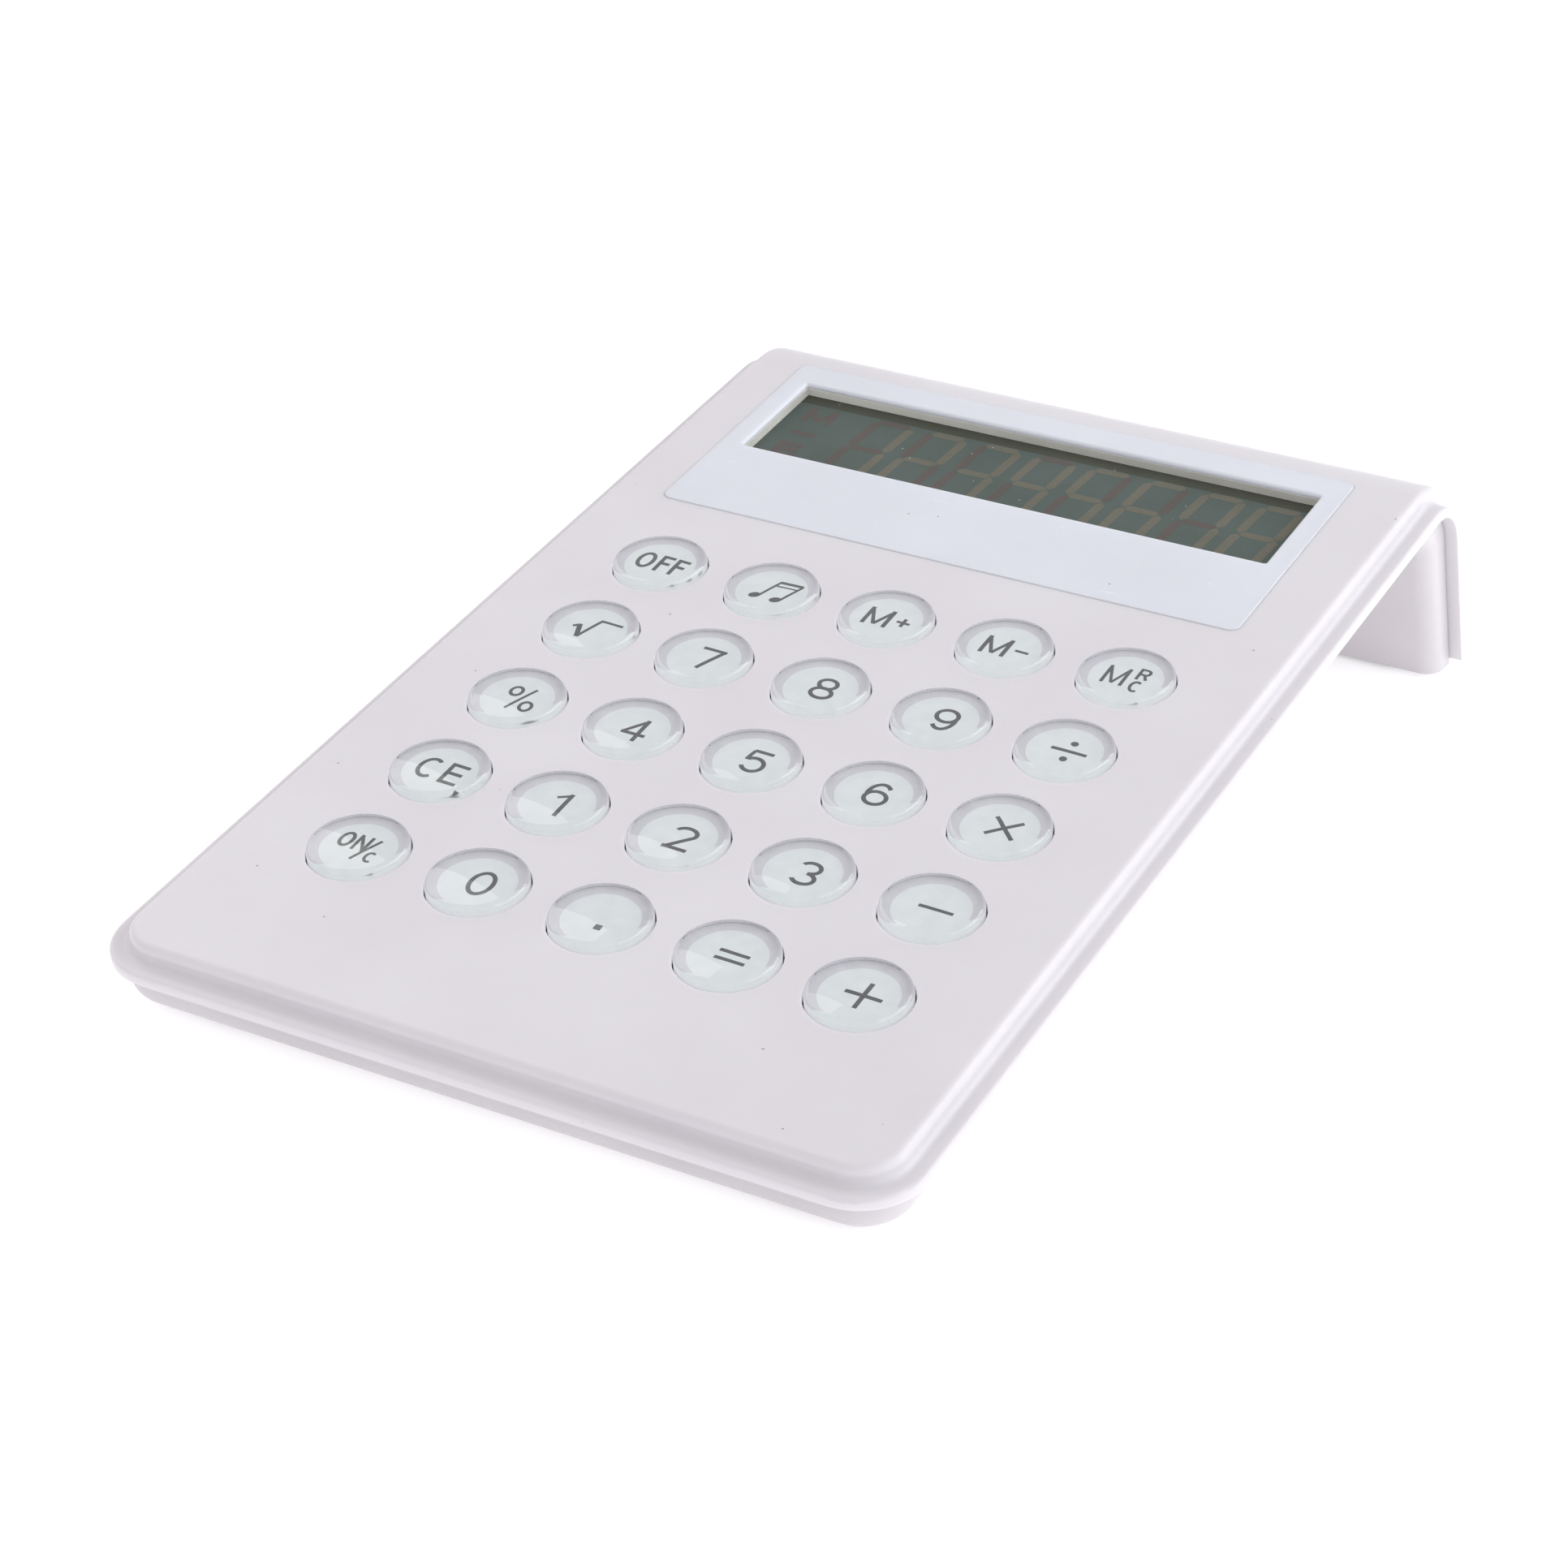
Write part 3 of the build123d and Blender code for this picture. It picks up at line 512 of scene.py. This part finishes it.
def legendOf(name):
    tall, wide, w, thin = (printForm[key] for key in ("tall", "wide", "weight", "thin"))
    small, light = printForm["smallTall"], printForm["smallWeight"]
    memory = glyph("M", 3.2, 3.5, w, -1.5) + [[bar(0.85, 0, 2.5, 0, thin)]]
    marks = {
        "point": [[bar(-0.42, -1.4, 0.42, -1.4, 0.84)]],
        "equals": [[bar(-1.75, 0.62, 1.75, 0.62, 0.48)], [bar(-1.75, -0.62, 1.75, -0.62, 0.48)]],
        "minus": [[bar(-2.0, 0, 2.0, 0, 0.48)]],
        "plus": [[bar(-2.1, 0, 2.1, 0, w)], [bar(0, -2.12, 0, 2.12, w)]],
        "times": [[bar(-1.6, -1.6, 1.6, 1.6, 0.5)], [bar(-1.6, 1.6, 1.6, -1.6, 0.5)]],
        "divide": [[bar(-2.1, 0, 2.1, 0, 0.5)], [oval(0, 1.5, 0.45, 0.45)], [oval(0, -1.5, 0.45, 0.45)]],
        "root": [[bar(-2.75, -0.25, -2.0, 0.3, 0.42)], [bar(-2.1, 0.35, -1.25, -2.0, 0.62)],
                 [bar(-1.25, -2.0, 0.0, 1.9, 0.4)], [bar(-0.15, 1.88, 2.75, 1.88, 0.42)]],
        "melody": [[oval(-1.95, -1.55, 0.74, 0.5, 0.5)], [oval(0.8, -1.55, 0.74, 0.5, 0.5)],
                   [bar(-1.4, -1.35, -0.2, 2.1, 0.34)], [bar(1.35, -1.35, 2.55, 2.1, 0.34)],
                   [bar(-0.3, 1.92, 2.6, 2.16, 0.5)], [bar(-0.57, 1.05, 2.25, 1.28, 0.26)]],
        "percent": glyph("%", 4.5, 4.5, w),
        "off": glyph("O", 2.3, 3.4, w, -2.4) + glyph("F", 1.65, 3.4, w, 0.05)
        + glyph("F", 1.65, 3.4, w, 2.05),
        "ce": glyph("C", 2.9, 3.8, w, -1.85) + glyph("E", 2.3, 3.8, w, 1.3),
        "m_plus": memory + [[bar(1.68, -0.83, 1.68, 0.83, thin)]],
        "m_minus": memory,
        "mrc": glyph("M", 2.7, 3.5, thin, -1.7) + glyph("R", 1.45, small, light, 1.15, 1.3)
        + glyph("C", 1.5, small * 0.95, light, 1.15, -1.2),
        "on_c": glyph("O", 1.8, 2.7, 0.44, -2.45, 0.75) + glyph("N", 1.7, 2.7, 0.4, -0.45, 0.75)
        + [[bar(-0.3, -2.1, 1.3, 2.0, light)]] + glyph("C", 1.4, 1.9, light, 1.6, -1.0),
    }
    strokes = marks[name] if name in marks else glyph(name, wide, tall, w)
    return layered(strokes)


def makePrint(name):
    centre = keyCentres[name]
    level = faceLevel - printForm["depth"]
    body = "key_" + name + "_body"
    onLayer = placeOnFace(centre.x, centre.y, level)
    startPiece()
    bpy.ops.mesh.primitive_cylinder_add(vertices=printForm["turns"], radius=printForm["radius"],
                                        depth=printForm["thickness"], location=(0, 0, 0))
    layer = bpy.context.object
    layer.data.transform(Matrix.Translation((0, 0, -printForm["thickness"] / 2)))
    finishPiece(layer, "print_" + name, printWhite, body, onLayer)
    rims = [oval(0, 0, radius / mm, radius / mm, count=printForm["skirtTurns"])
            for radius in (printForm["skirt"], printForm["radius"])]
    finishPiece(flatShape(rims), "skirt_" + name, skirtGrey, body, onLayer)
    along, up = printForm["shift"]
    finishPiece(legendOf(name), "legend_" + name, legendGrey, body,
                placeOnFace(centre.x + along, centre.y + up, level + printForm["sink"] / 4))


for row in keyNames:
    for name in row:
        makePrint(name)
print("key print made")


# display: the segments printed on the film, and the darker band at its rear edge

displayForm = {
    "pitch": 7.70, "first": -22.2, "middle": -1.2, "rise": 7.07, "wide": 4.93, "stroke": 1.2, "gap": 0.22,
    "lean": math.radians(4.5), "lift": 0.004 * mm, "bandWide": 2.1, "markWeight": 0.9, "markX": -31.7,
    "on": ["bc", "abged", "abgcd", "fgbc", "afgcd", "afgcde", "abcf", "abcdefg"],
}
segmentOn = displayFilm("segment_on", {
    "dark": (0.126, 0.122, 0.092), "light": (0.150, 0.145, 0.113), "mottle": (0.112, 0.106, 0.086),
    "dust": (0.5, 0.52, 0.5), "roughLow": 0.4, "roughHigh": 0.6, "sheen": 0.12,
})
segmentOff = displayFilm("segment_off", {
    "dark": (0.094, 0.080, 0.072), "light": (0.112, 0.094, 0.086), "mottle": (0.092, 0.088, 0.078),
    "dust": (0.5, 0.52, 0.5), "roughLow": 0.4, "roughHigh": 0.6, "sheen": 0.12,
})
filmBand = displayFilm("film_band", {
    "dark": (0.052, 0.060, 0.044), "light": (0.070, 0.078, 0.058), "mottle": (0.075, 0.072, 0.056),
    "dust": (0.4, 0.42, 0.38), "roughLow": 0.4, "roughHigh": 0.6, "sheen": 0.12,
})


def segment(name):
    # outline of one bar of a figure, about the middle of its centre bar
    half, rise, stroke = displayForm["wide"] / 2, displayForm["rise"], displayForm["stroke"]
    ends = {
        "a": (-half, rise, half, rise), "g": (-half, 0, half, 0), "d": (-half, -rise, half, -rise),
        "f": (-half, 0, -half, rise), "b": (half, 0, half, rise),
        "e": (-half, -rise, -half, 0), "c": (half, -rise, half, 0),
    }[name]
    start, end = Vector(ends[:2]), Vector(ends[2:])
    way = (end - start).normalized()
    side = Vector((-way.y, way.x)) * (stroke / 2)
    start, end = start + way * displayForm["gap"] / 2, end - way * displayForm["gap"] / 2
    tip = way * (stroke / 2)
    points = [start, start + tip - side, end - tip - side, end, end - tip + side, start + tip + side]
    return [(p.x + p.y * math.tan(displayForm["lean"]), p.y) for p in points]


def shiftedShape(outline, x, y):
    return flatShape([[(px + x, py + y) for px, py in outline]])


filmLow, filmHigh = spanOf("lcd_front_film")
filmMiddle = (filmLow + filmHigh) / 2
filmHalf = (filmHigh - filmLow) / 2 / mm
windowHalf = {"wide": 36.0, "long": 8.7}


def layOnFilm(pieces, name, finish):
    spot = placeOnFace(filmMiddle.x, filmMiddle.y, filmHigh.z + displayForm["lift"])
    finishPiece(joined(pieces), name, finish, "casing", spot)


lit, unlit = [], []
for place, wanted in enumerate(displayForm["on"]):
    figureX = displayForm["first"] + displayForm["pitch"] * place
    for part in "abcdefg":
        target = lit if part in wanted else unlit
        target.append(shiftedShape(segment(part), figureX, displayForm["middle"]))
layOnFilm(lit, "display_figures_lit", segmentOn)
markX, markWeight = displayForm["markX"], displayForm["markWeight"]
unlit.append(layered(glyph("M", 4.2, 3.8, markWeight, markX, 4.1)
                     + glyph("E", 3.4, 3.4, markWeight, markX, -5.1)))
unlit.append(flatShape([bar(markX - 1.7, -0.8, markX + 1.7, -0.8, 1.0)]))
layOnFilm(unlit, "display_figures_unlit", segmentOff)
bandEdge = min(windowHalf["long"], filmHalf.y) - displayForm["bandWide"] / 2
layOnFilm([flatShape([bar(-filmHalf.x, bandEdge, filmHalf.x, bandEdge, displayForm["bandWide"])])],
          "display_band", filmBand)

# pale cream lining over the lower window wall, between the bezel and the film: its cream tint is the
# wall's colour near the film, and its brightness is painted light standing in for light falling on the
# shaded wall
paintedLightLiningForm = {"up": 71.8 * mm, "wall": 0.07, "tall": 1.0 * mm, "inset": 0.01, "lift": 0.01 * mm}


def boxLine(halfWidth, halfLength):
    return [(-halfWidth, -halfLength), (halfWidth, -halfLength),
            (halfWidth, halfLength), (-halfWidth, halfLength)]


# painted light: this pale cream finish makes the shaded lower window wall look lit
paintedLightCream = mouldedPlastic("painted_light_lining_cream", {
    **plain, "cloudSize": 5 * mm, "dark": (0.76, 0.72, 0.64), "light": (0.84, 0.80, 0.72),
    "roughLow": 0.4, "roughHigh": 0.6, "glow": 0.4, "glowReach": 0.8 * mm,
})
outerWide, outerLong = windowHalf["wide"] - paintedLightLiningForm["inset"], windowHalf["long"] - paintedLightLiningForm["inset"]
innerWide, innerLong = outerWide - paintedLightLiningForm["wall"], outerLong - paintedLightLiningForm["wall"]
# painted light: the lining stands over the shaded window wall to lighten it
paintedLightLining = flatShape([boxLine(outerWide, outerLong), boxLine(innerWide, innerLong)], paintedLightLiningForm["tall"])
paintedLightLiningLevel = filmHigh.z + paintedLightLiningForm["tall"] / 2 + paintedLightLiningForm["lift"]
finishPiece(paintedLightLining, "display_painted_light_lining", paintedLightCream, "casing",
            placeOnFace(filmMiddle.x, keyCentres["5"].y + paintedLightLiningForm["up"], paintedLightLiningLevel))
print("display made")


# keypad mat: a sheet with a collapsible dome under each key, and the carbon pill inside the dome

matForm = {
    "halfWidth": 39.0, "halfLength": 42.5, "corner": 2.0, "hole": 4.3, "bossHole": 2.5, "thick": 0.6 * mm,
    "domeBase": 5.2, "domeShoulder": 3.6, "shoulderRise": 1.2, "domeRise": 1.85, "edge": 0.15,
    "hollowBase": 3.91, "hollowTop": 3.0, "hollowRise": 0.8,
    "pill": 2.0, "pillThick": 0.4, "pillEdge": 0.08, "keep": 0.47, "turns": 40,
    "merge": 0.002 * mm, "smoothAngle": math.radians(35),
}


def roundedBox(halfWidth, halfLength, corner, steps=6):
    edge = []
    for quarter, (sx, sy) in enumerate(((1, 1), (-1, 1), (-1, -1), (1, -1))):
        for step in range(steps + 1):
            angle = math.radians(90 * quarter + 90 * step / steps)
            edge.append((sx * (halfWidth - corner) + corner * math.cos(angle),
                         sy * (halfLength - corner) + corner * math.sin(angle)))
    return edge


def turned(profile, steps):
    # a solid turned about the z axis from a profile of (radius, height) in millimetres
    startPiece()
    shape = bpy.data.meshes.new("turned")
    points = [(r * mm, 0, z * mm) for r, z in profile]
    shape.from_pydata(points, [(k, k + 1) for k in range(len(points) - 1)], [])
    piece = bpy.data.objects.new("turned", shape)
    bpy.context.collection.objects.link(piece)
    onlySelect(piece)
    bpy.ops.object.mode_set(mode="EDIT")
    bpy.ops.mesh.select_all(action="SELECT")
    bpy.ops.mesh.spin(steps=steps, angle=math.tau, center=(0, 0, 0), axis=(0, 0, 1))
    bpy.ops.mesh.select_all(action="SELECT")
    bpy.ops.mesh.remove_doubles(threshold=matForm["merge"])
    bpy.ops.mesh.normals_make_consistent(inside=False)
    bpy.ops.object.mode_set(mode="OBJECT")
    bpy.ops.object.shade_smooth_by_angle(angle=matForm["smoothAngle"])
    return piece


def copyOf(piece):
    twin = piece.copy()
    twin.data = piece.data.copy()
    bpy.context.collection.objects.link(twin)
    return twin


matLow, matHigh = spanOf("keypad_mat")
matMiddle = (matLow + matHigh) / 2
matTop = matLow.z + matForm["thick"]  # the sheet's upper face
keyXs = sorted({round((centre.x - matMiddle.x) / mm, 3) for centre in keyCentres.values()})
keyYs = sorted({round((centre.y - matMiddle.y) / mm, 3) for centre in keyCentres.values()})
holes = [oval(x, y, matForm["hole"], matForm["hole"]) for x in keyXs for y in keyYs]
for x in (keyXs[0] + keyXs[1], keyXs[3] + keyXs[4]):
    for low, high in zip(keyYs, keyYs[1:]):
        holes.append(oval(x / 2, (low + high) / 2, matForm["bossHole"], matForm["bossHole"]))
matEdge = roundedBox(matForm["halfWidth"], matForm["halfLength"], matForm["corner"])
sheet = flatShape([matEdge] + holes, matForm["thick"])
finishPiece(sheet, "keypad_sheet", matRubber, "casing",
            placeOnFace(matMiddle.x, matMiddle.y, matTop - matForm["thick"] / 2))
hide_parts("keypad_mat")

shoulder, hollowRise = matForm["domeShoulder"], matForm["hollowRise"]
domeModel = turned([
    (0, matForm["domeRise"]), (shoulder - matForm["edge"], matForm["domeRise"]),
    (shoulder, matForm["domeRise"] - matForm["edge"]), (shoulder, matForm["shoulderRise"]),
    (matForm["domeBase"], 0), (matForm["hollowBase"], 0), (matForm["hollowTop"], hollowRise),
    (0, hollowRise),
], matForm["turns"])
pillFoot = hollowRise - matForm["pillThick"]
pillModel = turned([
    (0, hollowRise), (matForm["pill"], hollowRise), (matForm["pill"], pillFoot + matForm["pillEdge"]),
    (matForm["pill"] - matForm["pillEdge"], pillFoot), (0, pillFoot),
], matForm["turns"])
underKeys = ((domeModel, "dome_", matRubber, "mat"), (pillModel, "pill_", carbonInk, "carbon"))
for name, centre in keyCentres.items():
    foot = placeOnFace(centre.x, centre.y, matTop)
    for model, label, finish, slot in underKeys:
        piece = finishPiece(copyOf(model), label + name, finish, "casing", foot)
        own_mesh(piece)
        if label == "pill_" and name == "5":
            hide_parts("carbon_pills")
for model in (domeModel, pillModel):
    bpy.data.objects.remove(model)
print("mat made")


# floor, light and camera

studio = {
    "floorSize": 8.0, "floorColour": (0.93, 0.93, 0.94), "floorGlow": 0.42,
    "floorDrop": 0.0002, "floorPatch": 0.4, "floorDark": 0.985,
    "skyStrength": 0.80, "skyWay": (0.55, 0.45, 0.70),
    "skyLow": (0.84, 0.84, 0.87), "skyHigh": (1.0, 1.0, 1.02),
    "lamps": [
        {"name": "rear_window", "place": (0.56, 0.42, 0.43), "size": (0.7, 0.5), "power": 2.9,
         "colour": (0.96, 0.98, 1.0)},
        {"name": "left_window", "place": (-0.75, 0.15, 0.60), "size": (0.8, 0.8), "power": 2.4,
         "colour": (1.0, 0.985, 0.97)},
        {"name": "right_window", "place": (1.0, -0.15, 0.50), "size": (0.8, 0.8), "power": 2.6,
         "colour": (0.92, 0.96, 1.0)},
        {"name": "front_fill", "place": (0.30, -1.1, 0.8), "size": (1.4, 1.0), "power": 1.0,
         "colour": (1.0, 0.97, 0.98)},
    ],
}
startPiece()
bpy.ops.mesh.primitive_plane_add(size=studio["floorSize"], location=(0, 0, -studio["floorDrop"]))
floor = bpy.context.object
floor.name = "floor"
floorPaint, floorTree, floorShader = newMaterial("floor_paint")
floorCloud = noiseOn(floorTree, studio["floorPatch"], 3)
floorLow = tuple(c * studio["floorDark"] for c in studio["floorColour"])
floorTone = rampOn(floorTree, floorCloud, [(0.3, floorLow), (0.7, studio["floorColour"])])
floorTree.links.new(floorTone, floorShader.inputs["Base Color"])
floorShader.inputs["Roughness"].default_value = 0.9
floorShader.inputs["Emission Color"].default_value = (1, 1, 1, 1)
floorShader.inputs["Emission Strength"].default_value = studio["floorGlow"]
floor.data.materials.append(floorPaint)

sky = bpy.data.worlds.new("studio")
bpy.context.scene.world = sky
sky.use_nodes = True
skyTree = sky.node_tree
skyWay = addNode(skyTree, "ShaderNodeTexCoord")
skyDot = addNode(skyTree, "ShaderNodeVectorMath", operation="DOT_PRODUCT")
skyDot.inputs[1].default_value = Vector(studio["skyWay"]).normalized()
skyTree.links.new(skyWay.outputs["Generated"], skyDot.inputs[0])
skyTone = rampOn(skyTree, rangeOn(skyTree, skyDot.outputs["Value"], 0, 1, -0.6, 0.9),
                 [(0.0, studio["skyLow"]), (1.0, studio["skyHigh"])])
skyTree.links.new(skyTone, skyTree.nodes["Background"].inputs["Color"])
skyTree.nodes["Background"].inputs["Strength"].default_value = studio["skyStrength"]

# the camera is placed from the middle key, along the sloping face
cameraSetup = {
    "from": (0.18445, -0.30211, 0.23763), "towards": (0.0067, -0.00439, 0.00070),
    "lens": 87.48, "sensor": 36.0, "roll": 1.3415,
}
middleKey = Vector((keyCentres["5"].x, keyCentres["5"].y, faceLevel + keyForm["stand"]))
lookFrom = faceTurn @ (middleKey + Vector(cameraSetup["from"]))
lookAt = faceTurn @ (middleKey + Vector(cameraSetup["towards"]))
for lamp in studio["lamps"]:
    bpy.ops.object.light_add(type="AREA", location=lamp["place"])
    light = bpy.context.object
    light.name = lamp["name"]
    light.data.shape = "RECTANGLE"
    light.data.size, light.data.size_y = lamp["size"]
    light.data.energy = lamp["power"]
    light.data.color = lamp["colour"]
    light.rotation_mode = "QUATERNION"
    light.rotation_quaternion = (lookAt - light.location).to_track_quat("-Z", "Y")

bpy.ops.object.camera_add(location=lookFrom)
camera = bpy.context.object
camera.name = "viewpoint"
camera.data.lens = cameraSetup["lens"]
camera.data.sensor_width = cameraSetup["sensor"]
camera.data.clip_start = 0.01
camera.data.clip_end = 20
level = (lookAt - lookFrom).to_track_quat("-Z", "Y")
camera.rotation_mode = "QUATERNION"
camera.rotation_quaternion = level @ Quaternion((0, 0, 1), math.radians(cameraSetup["roll"]))
bpy.context.scene.camera = camera
bpy.context.scene.view_settings.view_transform = "Standard"
print("studio set")
